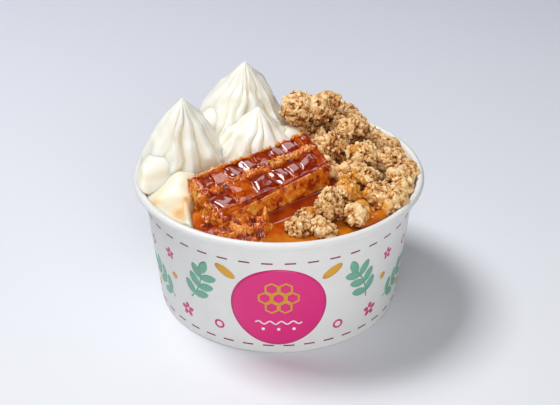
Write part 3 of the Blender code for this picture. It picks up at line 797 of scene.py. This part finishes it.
def honeycomb(finish):
    """A ring of points round the block's section carried along it; the top is pressed into cells, the rest is wax."""
    top = np.stack([np.linspace(-0.93, 0.93, 156), np.ones(156)], axis=1)
    turns = [(0.93, 1.0), (0.975, 0.975), (1.0, 0.9), (0.99, 0.6), (0.96, -0.3), (0.9, -0.97), (0, -1), (-0.9, -0.97),
             (-0.97, -0.3), (-1.0, 0.7), (-0.975, 0.94), (-0.93, 1.0)]
    rest = along(np.array(turns), np.linspace(0, 1, 120))[1:-1]
    section = np.concatenate([top, rest])
    lengthwise = np.linspace(-1, 1, 310)
    s = np.broadcast_to(lengthwise[:, None], (len(lengthwise), len(section)))
    t = np.broadcast_to(section[:, 0], s.shape)
    w = np.broadcast_to(section[:, 1], s.shape)
    rings = comb_point(s, t, w)
    normal = ring_normals(rings)
    rings = rings + normal * (0.45 * MM * rough_noise(rings, 7 * MM, 2, 33))[..., None]
    grain = rough_noise(rings, 2.2 * MM, 4, 13)
    u = 26 * s + 0.5 * rough_noise(rings, 3.5 * MM, 2, 3) / 1.5
    v = (11.3 - 1.8 * s) * t + 0.45 * rough_noise(rings, 3.5 * MM, 2, 5) / 1.5
    relief, wax = opened_cells(u, v, grain)
    on_top = smooth_step((w - 0.955) / 0.045)
    face = 0.57 + 0.42 * grain + 0.20 * cells_noise(rings, 5 * MM, 29) - 0.25 * smooth_step((s - 0.85) / 0.15)
    face = face - 0.36 * smooth_step((-0.42 - s + 0.08 * grain) / 0.25) * smooth_step((t + 0.2) / 0.6)
    relief = on_top * relief + (1 - on_top) * 0.40 * grain
    wax = on_top * wax + (1 - on_top) * face
    back = smooth_step((-0.90 - t) / 0.08)
    relief = relief + back * (0.5 + 1.0 * grain)
    wax = wax + back * (0.15 + 0.3 * grain)
    torn = smooth_step((-0.91 - s) / 0.09)
    relief = relief + torn * 1.2 * rough_noise(rings, 1.8 * MM, 3, 17)
    wax = wax * (1 - torn) + (0.55 - 0.25 * t + 0.5 * grain) * torn
    rings = rings + normal * relief[..., None] * MM
    caps = []
    for end, sign in ((0, -1), (-1, 1)):
        middle = rings[end].mean(axis=0)
        shrunk = middle + (rings[end] - middle) * np.linspace(0.96, 0.04, 22)[:, None, None]
        bulge = 0.8 * MM * (1 - np.linspace(0.96, 0.04, 22) ** 3)[:, None]
        ragged = rough_noise(shrunk, 2.0 * MM, 3, 19) * (1.3 if sign < 0 else 0.4) * MM
        out = (comb_point(1.0, 0.0, 0.0) - comb_point(-1.0, 0.0, 0.0)).ravel()
        shrunk = shrunk + sign * out / np.linalg.norm(out) * (bulge + ragged)[..., None]
        tint = (0.62 if sign < 0 else 0.24) + 0.45 * rough_noise(shrunk, 1.5 * MM, 3, 23)
        caps.append(np.concatenate([shrunk, tint[..., None]], axis=-1))
    rings = np.concatenate([rings, np.clip(wax, 0, 1)[..., None]], axis=-1)
    made = piece("comb_block", skin(np.concatenate([caps[0][::-1], rings, caps[1]])), finish, ["wax"])
    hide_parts("honeycomb")


CRUMBLE = (  # lumps of soaked wax fallen from the front face: centre, half sizes in mm, turn in degrees
    ((-20.0, -44.2, 52.0), (4.2, 3.2, 2.4), 30), ((-10.5, -42.5, 51.8), (4.6, 3.0, 2.2), 25),
    ((-25.5, -39.0, 51.6), (4.4, 3.6, 4.6), 60), ((-14.0, -38.6, 53.6), (6.5, 2.4, 2.4), 37),
)
BANK_ARC = math.radians(239), math.radians(267)
BANK_BACK = np.array([(-25.0, -40.0), (-20.0, -40.5), (-8.0, -31.5), (2.0, -26.0)]) * MM


def wax_bank(finish):
    """A granular bank of soaked wax from the comb's front face down to the wall, low at both ends."""
    ground = patch(BANK_ARC, BANK_BACK, (190, 120), POOL_LEVEL)
    x, y = ground[..., 0], ground[..., 1]
    along_wall = np.linspace(0, 1, 190)[:, None]
    inward = np.linspace(0, 1, 120)
    ends = smooth_step(5 * along_wall) * smooth_step(4 * (1 - along_wall))
    flat = np.stack([x, y, 0 * x], axis=-1)
    grain = rough_noise(flat, 2.4 * MM, 4, 57)
    z = 49.6 * MM + (2.4 + 3.4 * inward + 1.5 * grain) * ends * MM
    wax = np.clip(0.37 + 0.5 * grain + 0.2 * cells_noise(flat, 6 * MM, 58), 0, 1)
    top = np.stack([x, y, z, wax], axis=-1)
    bottom = np.stack([x, y, np.full(x.shape, 47.2 * MM), wax], axis=-1)
    piece("wax_bank", block(inside_cup(top), inside_cup(bottom)), finish, ["wax"])


def wax_crumble(finish):
    """Rough lumps of wax soaked in honey, and small bits of wax along the comb's rib, crust and torn end."""
    shapes = []
    for centre, half, degrees in CRUMBLE:
        rings, _ = lobe(centre, half, degrees, rows=64, columns=110)
        grain = rough_noise(rings, 1.9 * MM, 4, 51)
        rings = rings + ring_normals(rings) * (0.9 * MM * grain)[..., None]
        wax = np.clip(0.38 + 0.5 * grain + 0.2 * cells_noise(rings, 5 * MM, 55), 0, 1)
        shapes.append(skin(np.concatenate([inside_cup(rings), wax[..., None]], axis=-1)))
    random = np.random.default_rng(8)
    for k in range(110):
        along_comb, across = random.uniform(-1, 1), 0.0
        kind = k % 5
        if kind < 2:
            across = -0.14 + random.normal() * 0.09
        elif kind == 2:
            across = -0.93
        elif kind == 3:
            along_comb, across = -1.0, random.uniform(-0.9, 0.9)
        else:
            along_comb, across = random.uniform(0.15, 0.75), random.uniform(-0.35, -0.02)
        up = random.uniform(0.2, 1.0) if kind == 3 else 1.0
        size = random.uniform(0.35, 0.95)
        centre = comb_point(along_comb, across, up) / MM + np.array([0, 0, 0.25])
        rings, _ = lobe(centre, size * random.uniform(0.6, 1.3, 3), random.uniform(0, 180), rows=9, columns=12)
        rings = rings + ring_normals(rings) * (0.3 * size * MM * rough_noise(rings, 0.9 * MM, 2, k))[..., None]
        wax = np.full(rings.shape[:2] + (1,), random.uniform(0.45, 0.95))
        shapes.append(skin(np.concatenate([rings, wax], axis=-1)))
    piece("wax_crumbs", merged(shapes), finish, ["wax"])


# Honey and granola lie on patches of ground between an arc of the wall and a route inside it

HEAP_ARC = math.radians(-54), math.radians(86)
HEAP_BACK = np.array([(24.4, -9.0), (19.0, -1.0), (11.0, 6.0), (5.0, 16.0), (3.0, 26.0), (3.0, 37.0)]) * MM
CLUSTERS = (  # centre, half sizes along X, Y and Z, in mm
    ((13.2, 17.0, 73.5), (11.2, 8.4, 7.8)), ((29.0, 15.0, 66.0), (7.6, 7.0, 6.0)),
    ((22.0, 3.2, 64.0), (5.8, 5.6, 5.4)), ((33.2, -1.5, 61.5), (6.4, 6.0, 6.0)),
    ((33.0, -13.5, 58.5), (6.6, 5.6, 4.8)), ((40.5, 19.0, 56.0), (6.0, 6.0, 4.6)),
    ((45.0, 3.0, 54.2), (6.2, 7.0, 4.8)), ((46.5, -10.5, 55.0), (5.4, 5.6, 5.2)),
    ((40.5, -24.0, 55.0), (6.8, 6.4, 6.2)), ((19.0, -33.0, 55.5), (5.4, 5.0, 6.8)),
    ((29.2, -36.0, 54.0), (4.6, 5.0, 5.0)), ((6.6, -42.5, 52.8), (4.4, 4.2, 4.0)),
    ((16.4, -43.8, 52.8), (4.8, 4.2, 3.9)), ((10.4, -33.6, 52.5), (3.4, 3.2, 3.2)),
    ((26.4, -22.8, 57.0), (4.8, 5.2, 4.6)), ((26.0, 32.0, 61.5), (7.4, 6.2, 5.4)),
    ((12.0, 37.0, 62.0), (6.0, 6.4, 5.6)), ((22.0, 43.5, 55.5), (5.6, 4.8, 4.8)),
    ((37.0, 31.0, 54.0), (5.4, 5.0, 4.4)),
)


def patch(arc, back, steps, level):
    """A grid of ground points from the wall's arc to the back route, lofted straight across."""
    shares = np.linspace(0, 1, steps[0])
    angles = arc[0] + (arc[1] - arc[0]) * shares
    rim = (wall_radius(level) - PAPER - 0.2 * MM) * np.stack([np.cos(angles), np.sin(angles)], axis=1)
    inward = np.linspace(0, 1, steps[1])[:, None, None]
    return (rim * (1 - inward) + along(back, shares) * inward).transpose(1, 0, 2)


def honey_height(x, y):
    """Level of the pool, with a round rise at the comb's right end."""
    far = ((x - 20 * MM) ** 2 + (y + 12 * MM) ** 2) / (2 * (9 * MM) ** 2)
    return POOL_LEVEL + 4.6 * MM * np.exp(-far)


def honey_pool(finish):
    """The pool: level in the open, climbing a little up the wall and in a rounded lip along the comb's foot."""
    ground = patch(POOL_ARC, POOL_BACK, (260, 120), POOL_LEVEL)
    x, y = ground[..., 0], ground[..., 1]
    z = honey_height(x, y)
    foot = comb_point(np.linspace(-1.05, 1.05, 80), np.full(80, 0.97), np.full(80, -0.6))
    gap = np.full(x.shape, 1.0)
    lift = np.zeros(x.shape)
    for point in foot:
        reach = np.hypot(x - point[0], y - point[1])
        nearer = reach < gap
        gap = np.where(nearer, reach, gap)
        lift = np.where(nearer, point[2], lift)
    hug = np.exp(-(gap / (2.2 * MM)) ** 2)
    z = z + np.maximum(lift + 1.2 * MM - z, 0) * hug
    z = z + 0.38 * MM * np.exp(-(((gap - 2.6 * MM - 0.6 * MM * np.sin(x / (5 * MM))) / (1.1 * MM)) ** 2))
    for at_x, at_y, rise, spread in ((-29.0, -34.0, 3.0, 4.0), (-25.0, -41.0, 2.0, 4.0)):
        z = z + rise * MM * np.exp(-((x - at_x * MM) ** 2 + (y - at_y * MM) ** 2) / (2 * (spread * MM) ** 2))
    wall = (wall_radius(POOL_LEVEL) - PAPER) - np.hypot(x, y)
    z = z + 0.9 * MM * np.exp(-wall / (0.9 * MM))
    spread = np.stack([x, y, np.zeros(x.shape)], axis=-1)
    z = z + 0.20 * MM * rough_noise(spread, 7 * MM, 3, 41)
    deep = np.clip(0.72 - gap / (22 * MM), 0, 1) + 0.1 * hug
    top = np.stack([x, y, z, deep], axis=-1)
    bottom = np.stack([x, y, np.full(x.shape, 46.8 * MM), deep], axis=-1)
    made = piece("honey_surface", block(inside_cup(top), inside_cup(bottom)), finish, ["deep"])
    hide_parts("honey_pool")


def flakes_over(points, normals, centres, axes, sizes, random):
    """(relief, tone) where oat flakes overlap: each is an oval plateau, tilted a little; the highest one shows."""
    relief = np.zeros(points.shape[:-1])
    tone = np.full(points.shape[:-1], 0.5)
    for centre, (u, v), (a, b, thick) in zip(centres, axes, sizes):
        offset = points - centre
        along_u, along_v = offset @ u, offset @ v
        reach = (along_u / a) ** 2 + (along_v / b) ** 2
        deep = np.abs(offset @ np.cross(u, v)) < 2.2 * a
        lean_u, lean_v = random.uniform(-0.35, 0.35, 2)
        lift = (thick * (1 - reach**3) + lean_u * along_u + lean_v * along_v) * ((reach < 1) & deep)
        higher = lift > relief
        relief = np.where(higher, lift, relief)
        tone = np.where(higher, random.uniform(0, 1), tone)
    return relief, tone


def flake_axes(normals, random):
    """Two axes at right angles in each flake's plane, turned at random."""
    helper = random.normal(size=normals.shape)
    u = np.cross(normals, helper)
    u /= np.linalg.norm(u, axis=1, keepdims=True)
    return np.stack([u, np.cross(normals, u)], axis=1)


def flake_sizes(count, random):
    return np.stack([random.uniform(0.7, 1.6, count), random.uniform(0.45, 1.0, count),
                     random.uniform(0.25, 0.7, count)], axis=1) * MM


GLAZED = ((25.5, -18.9, 60.0, 5.4), (29.1, -23.2, 58.0, 5.6), (31.5, -29.0, 56.5, 5.2), (35.6, -35.5, 55.0, 5.4),
          (28.8, -3.0, 65.5, 2.6), (40.0, 9.1, 61.0, 3.0), (12.5, -34.0, 54.0, 2.4),
          (-4.6, -46.5, 52.0, 4.0))  # where honey has run over it: middle and reach, in mm


def crumbly(points, seed):
    """Rounded knobs of two sizes, bent out of round, with sharp creases between, and grit: (relief, share of crest),
    the share painted light: lighter on knobs, darker in creases.
    """
    bent = points + 0.9 * MM * np.stack([cells_noise(points, 3 * MM, seed + k) for k in (11, 12, 13)], axis=-1)
    knobs = np.abs(cells_noise(bent, 3.7 * MM, seed)) ** 0.8
    beads = np.abs(cells_noise(bent, 1.5 * MM, seed + 1)) ** 0.9
    grit = rough_noise(points, 0.8 * MM, 2, seed + 2)
    relief = (1.9 * knobs + 0.85 * beads + 0.40 * grit - 1.0) * MM
    return relief, 0.52 * knobs + 0.52 * beads + 0.26 * grit - 0.06


def glaze_at(points):
    """Share of honey over granola: 1 inside each glazed ball, with a broken edge."""
    away = [np.linalg.norm(points - np.array(at) * MM, axis=-1) / (reach * MM) for *at, reach in GLAZED]
    nearest = np.min(away, axis=0) + 0.4 * rough_noise(points, 2.4 * MM, 2, 71)
    return smooth_step((1.2 - nearest) / 0.35)


TWINS = (((-5.6, -0.4, 0.4), (6.3, 7.2, 7.4)), ((5.8, 0.4, -0.4), (6.7, 7.8, 6.9)))  # the first cluster's two lobes


def cluster_surface(number, direction):
    """Points of a lumpy ellipsoid, or of two overlapping ones, in the given directions from the cluster's centre.

    Along a direction d an ellipsoid with centre c and halves h is left where |t d/h - c/h| = 1.
    """
    centre, half = (np.array(value) * MM for value in CLUSTERS[number])
    base = (0.95 if number < 8 else 1.04) + 0.26 * rough_noise(direction * half + 1.7 * centre, 6.5 * MM, 2, 60 + number)
    if number > 0:
        return direction * base[..., None] * half
    reach = []
    for middle, halves in TWINS:
        ray, start = direction / np.array(halves), np.array(middle) / np.array(halves)
        square, across = np.sum(ray * ray, axis=-1), ray @ start
        reach.append((across + np.sqrt(np.maximum(across**2 + square * (1 - start @ start), 0))) / square)
    return direction * (base * np.maximum(*reach) * MM)[..., None]


def granola_cluster(number, finish):
    """A lump under knobs of baked crumbs, with overlapping oat flakes pressed in."""
    centre, half = (np.array(value) * MM for value in CLUSTERS[number])
    size = half.mean()
    rows, columns = (98, 172) if size > 6 * MM else (76, 136)
    rise = np.cos(np.linspace(math.pi, 0, rows + 2)[1:-1])[:, None]
    turn = np.linspace(0, math.tau, columns, endpoint=False)
    flat = np.sqrt(1 - rise**2)
    direction = np.stack([flat * np.cos(turn), flat * np.sin(turn),
                          np.broadcast_to(rise, (rows, columns))], axis=-1)
    random = np.random.default_rng(40 + number)
    points = cluster_surface(number, direction)
    count = int(2.4 * (size / MM) ** 2)
    spots = random.normal(size=(count, 3))
    spots /= np.linalg.norm(spots, axis=1, keepdims=True)
    flakes, tone = flakes_over(points, direction, 0.98 * cluster_surface(number, spots), flake_axes(spots, random),
                               flake_sizes(count, random), random)
    relief, crest = crumbly(points + centre, number)
    points = centre + points + direction * (relief + 0.7 * flakes)[..., None]
    # Painted shade: the crest share drops on each cluster's underside and lower flanks; raised flakes come out lighter.
    crest = crest - 0.32 * smooth_step((0.3 - direction[..., 2]) / 0.9)
    crest = np.clip(crest + 0.5 * flakes / MM, 0, 1)
    rings = np.stack([crest, tone, glaze_at(points)], axis=-1)
    rings = np.concatenate([inside_cup(points), rings], axis=-1)
    made = piece(f"granola_lump_{number + 1:02d}", skin(rings), finish, ["crest", "tone", "glaze"])
    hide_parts(f"granola_cluster_{number + 1:02d}")


def heap_height(x, y):
    """A round mound, sloping off at its far end, with bumps in rows staggered by half a pitch."""
    far = ((x - 14 * MM) ** 2 + (y - 18 * MM) ** 2) / (2 * (18 * MM) ** 2)
    row = y / (9.5 * MM * 0.87)
    bumps = np.cos(math.tau * (x / (9.5 * MM) + row / 2)) * np.cos(math.pi * row)
    end = smooth_step((HEAP_ARC[1] - np.arctan2(y, x)) / math.radians(24))
    return 51 * MM + (0.25 + 0.75 * end) * 17 * MM * np.exp(-far) + 1.5 * MM * bumps


def granola_core(finish):
    """The mound under the clusters, its top covered with flakes as they are."""
    ground = patch(HEAP_ARC, HEAP_BACK, (290, 145), 51 * MM)
    x, y = ground[..., 0], ground[..., 1]
    z = heap_height(x, y) - 0.8 * MM
    points = np.stack([x, y, z], axis=-1)
    random = np.random.default_rng(77)
    count = 620
    picked = points.reshape(-1, 3)[random.integers(0, x.size, count)]
    normals = random.normal(size=(count, 3)) * 0.35 + np.array([0.0, 0.0, 1.0])
    normals /= np.linalg.norm(normals, axis=1, keepdims=True)
    relief, tone = flakes_over(points, None, picked, flake_axes(normals, random),
                               1.2 * flake_sizes(count, random), random)
    relief_up, crest = crumbly(points, 91)
    z = z + relief_up + relief
    # Painted shade: the mound, seen in the gaps between clusters, is darker overall; raised flakes come out lighter.
    crest = np.clip(crest - 0.14 + 0.3 * relief / MM, 0, 1)
    glaze = glaze_at(points)
    top = np.stack([x, y, z, crest, tone, glaze], axis=-1)
    bottom = np.stack([x, y, np.full(x.shape, 49.8 * MM), crest, tone, glaze], axis=-1)
    made = piece("granola_mound", block(inside_cup(top), inside_cup(bottom)), finish,
                 ["crest", "tone", "glaze"])
    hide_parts("granola_heap")


def amber_lobe(finish):
    """Honey that has run over the granola to the wall and set there in a smooth lobe."""
    shapes = []
    for centre, half, degrees in (((35.2, -35.6, 52.9), (8.2, 3.0, 1.9), 42), ((32.0, -31.0, 53.6), (3.2, 5.4, 1.9), 35)):
        rings, _ = lobe(centre, half, degrees, rows=50, columns=90)
        rings = rings + ring_normals(rings) * (0.5 * MM * rough_noise(rings, 4 * MM, 2, 83))[..., None]
        held = np.full(rings.shape[:2] + (1,), 0.2)
        shapes.append(skin(np.concatenate([inside_cup(rings), held], axis=-1)))
    piece("honey_lobe", merged(shapes), finish, ["deep"])


def granola_crumbs(finish):
    """Small lumps broken off the clusters: a row along the wall, some at the comb's end and the rest over the mound."""
    random = np.random.default_rng(15)
    shapes = []
    ground = patch(HEAP_ARC, HEAP_BACK, (60, 40), 51 * MM).reshape(-1, 2)
    for k in range(95):
        size = random.uniform(1.3, 3.2)
        if k < 22:
            size = random.uniform(2.4, 3.8)
            angle = math.radians(-36 + 122 * k / 22)
            level = 54.2 - 2.6 * float(smooth_step(math.degrees(angle) / 20 + 0.5)) + random.uniform(-0.5, 1.4)
            at = np.array([51.4 * math.cos(angle), 51.4 * math.sin(angle), level])
        elif k < 31:
            at = comb_point(1.07, 0.6 - 0.18 * (k - 22), random.uniform(-0.6, 0.35)) / MM
        else:
            x, y = ground[random.integers(len(ground))]
            at = np.array([x, y, heap_height(x, y)]) / MM + np.array([0, 0, 0.5 * size])
        rings, _ = lobe(at, size * random.uniform(0.8, 1.25, 3), random.uniform(0, 180), rows=22, columns=34)
        relief, crest = crumbly(rings, 200 + k)
        rings = rings + ring_normals(rings) * (0.7 * relief + 0.25 * MM)[..., None]
        held = np.stack([crest + 0.1, np.full(crest.shape, random.uniform(0, 1)), glaze_at(rings)], axis=-1)
        shapes.append(skin(np.concatenate([inside_cup(rings), held], axis=-1)))
    piece("granola_crumbs", merged(shapes), finish, ["crest", "tone", "glaze"])


def loose_flake(centre, normal, spin, half_long, half_wide, thick, tone):
    """A curled oat flake: an oval disc, thick in its middle and bent along its length."""
    turn = np.linspace(0, math.tau, 10, endpoint=False)
    rows = np.array([(0.5, -0.8), (0.88, -0.5), (1.0, 0.0), (0.88, 0.5), (0.5, 0.8)])
    x = half_long * rows[:, :1] * np.cos(turn)
    y = half_wide * rows[:, :1] * np.sin(turn)
    z = thick * rows[:, 1:] + 0.35 * x**2 / half_long
    u = np.cross(normal, [math.cos(spin), math.sin(spin), 0.3])
    u /= np.linalg.norm(u)
    v = np.cross(normal, u)
    points = centre + x[..., None] * u + y[..., None] * v + z[..., None] * normal
    held = np.broadcast_to([0.62, tone, 0.0], x.shape + (3,))
    return skin(np.concatenate([points, held], axis=-1))


def loose_flakes(finish):
    """Flakes that stand out of the clusters at all angles."""
    random = np.random.default_rng(5)
    made = []
    for number, (centre, half) in enumerate(CLUSTERS):
        centre, half = np.array(centre) * MM, np.array(half) * MM
        for _ in range(int(22 * (half.mean() / (6 * MM)) ** 2)):
            way = random.normal(size=3)
            way[2] = abs(way[2]) - 0.25
            way /= np.linalg.norm(way)
            normal = way + random.normal(size=3) * 0.55
            normal /= np.linalg.norm(normal)
            long = random.uniform(0.7, 1.5) * MM
            at = inside_cup(centre + cluster_surface(number, way) * random.uniform(0.96, 1.02), 1.2 * MM)
            made.append(loose_flake(at, normal, random.uniform(0, math.tau), long, long * random.uniform(0.55, 0.8),
                                    random.uniform(0.25, 0.5) * MM, random.uniform(0, 1)))
    piece("oat_flakes", merged(made), finish, ["crest", "tone", "glaze"])


# Camera, floor and lamps


def area_lamp(name, direction, distance, size, power, colour=(1.0, 1.0, 1.0), aim=(0.0, 0.0, 0.04)):
    """A square lamp that looks at a point from the given direction."""
    lamp = bpy.data.lights.new(name, "AREA")
    lamp.size, lamp.energy, lamp.color = size, power, colour
    made = bpy.data.objects.new(name, lamp)
    way = np.array(direction) / np.linalg.norm(direction)
    made.location = np.array(aim) + way * distance
    yaw = math.atan2(way[0], -way[1])
    made.rotation_euler = (math.acos(way[2]), 0, yaw)
    bpy.context.scene.collection.objects.link(made)
    return made


def studio():
    scene = bpy.context.scene
    held = bpy.data.cameras.new("camera")
    held.lens, held.sensor_width = 74.117, 36.0
    held.clip_start, held.clip_end = 0.02, 20
    camera = bpy.data.objects.new("camera", held)
    camera.location = (0.0, -0.4053, 0.2749)
    camera.rotation_euler = (math.radians(90 - 30.204), 0, math.radians(-0.081))
    scene.collection.objects.link(camera)
    scene.camera = camera
    side = np.linspace(-2.5, 2.5, 12)
    x, y = np.meshgrid(side, side, indexing="ij")
    mesh = bpy.data.meshes.new("floor")
    index = np.arange(144).reshape(12, 12)
    quads = np.stack([index[:-1, :-1], index[1:, :-1], index[1:, 1:], index[:-1, 1:]], axis=-1).reshape(-1, 4)
    mesh.from_pydata(np.stack([x, y, 0 * x], axis=-1).reshape(-1, 3).tolist(), [], quads.tolist())
    floor = bpy.data.objects.new("floor", mesh)
    mesh.materials.append(floor_finish())
    scene.collection.objects.link(floor)
    world = bpy.data.worlds.new("studio")
    world.use_nodes = True
    world.node_tree.nodes["Background"].inputs["Color"].default_value = (0.90, 0.94, 1.0, 1.0)
    world.node_tree.nodes["Background"].inputs["Strength"].default_value = 0.055
    scene.world = world
    scene.view_settings.view_transform = "Standard"
    area_lamp("key_lamp", (-0.43, 0.18, 0.885), 1.2, 0.42, 11.8)
    card = area_lamp("gloss_card", (0.0, 0.54, 0.84), 0.9, 0.46, 2.6)
    card.visible_diffuse = False
    area_lamp("fill_lamp", (0.15, -0.50, 0.85), 1.3, 1.1, 4.6)
    area_lamp("front_lamp", (0.16, -0.96, 0.21), 1.3, 0.9, 8.6, (1.0, 0.985, 0.96))


def main():
    studio()
    cup_wall_piece(paper_finish())
    cup_base_piece(board_finish())
    print_pieces()
    yogurt = yogurt_finish()
    yogurt_fill(yogurt)
    for name in PEAKS:
        yogurt_peak(name, yogurt)
    yogurt_lobe("yogurt_coil", (-44.4, -4.4, 55.4), (22.0, 10.2, 9.2), 44, 2, yogurt)
    yogurt_lobe("yogurt_shoulder", (-25.5, 21.0, 60.0), (10.5, 8.5, 12.0), 40, 3, yogurt)
    yogurt_lobe("yogurt_side", (4.5, 12.0, 60.5), (10.5, 8.0, 6.8), 25, 3, yogurt)
    wax = comb_finish()
    honeycomb(wax)
    wax_bank(wax)
    wax_crumble(wax)
    honey = honey_finish()
    honey_pool(honey)
    amber_lobe(honey)
    granola = granola_finish()
    granola_core(granola)
    for number in range(len(CLUSTERS)):
        granola_cluster(number, granola)
    granola_crumbs(granola)
    loose_flakes(granola)


main()
